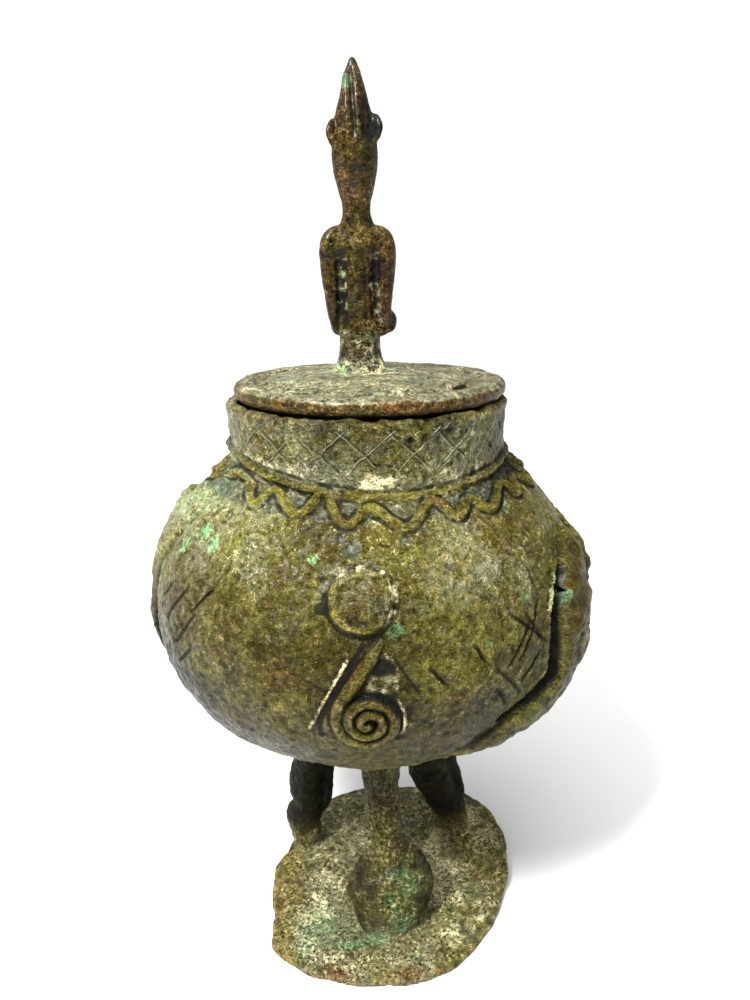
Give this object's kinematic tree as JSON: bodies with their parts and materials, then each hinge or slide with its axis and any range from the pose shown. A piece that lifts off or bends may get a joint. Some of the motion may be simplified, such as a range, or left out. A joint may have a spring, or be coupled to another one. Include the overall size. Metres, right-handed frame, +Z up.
{
  "type": "lidded bronze pot",
  "caption": "Round cast bronze pot on splayed legs and a foot plate, with relief ornament and a loose lid that carries a bird-headed figure.",
  "frame": {"origin": "where the pot's axis meets the flat underside of the foot plate", "axes": "+Z up along the pot's axis, -Y to the front, which carries the boss and the coil"},
  "size_m": [0.1907, 0.1918, 0.3817],
  "materials": {
    "vessel_bronze": "cast bronze, pitted, with an olive, green, grey and cream patina",
    "lid_bronze": "cast bronze, copper-brown where it is handled, with green crust in the hollows"
  },
  "bodies": {
    "root": {"vessel": "vessel_bronze", "lid": "lid_bronze"}
  },
  "joints": []
}
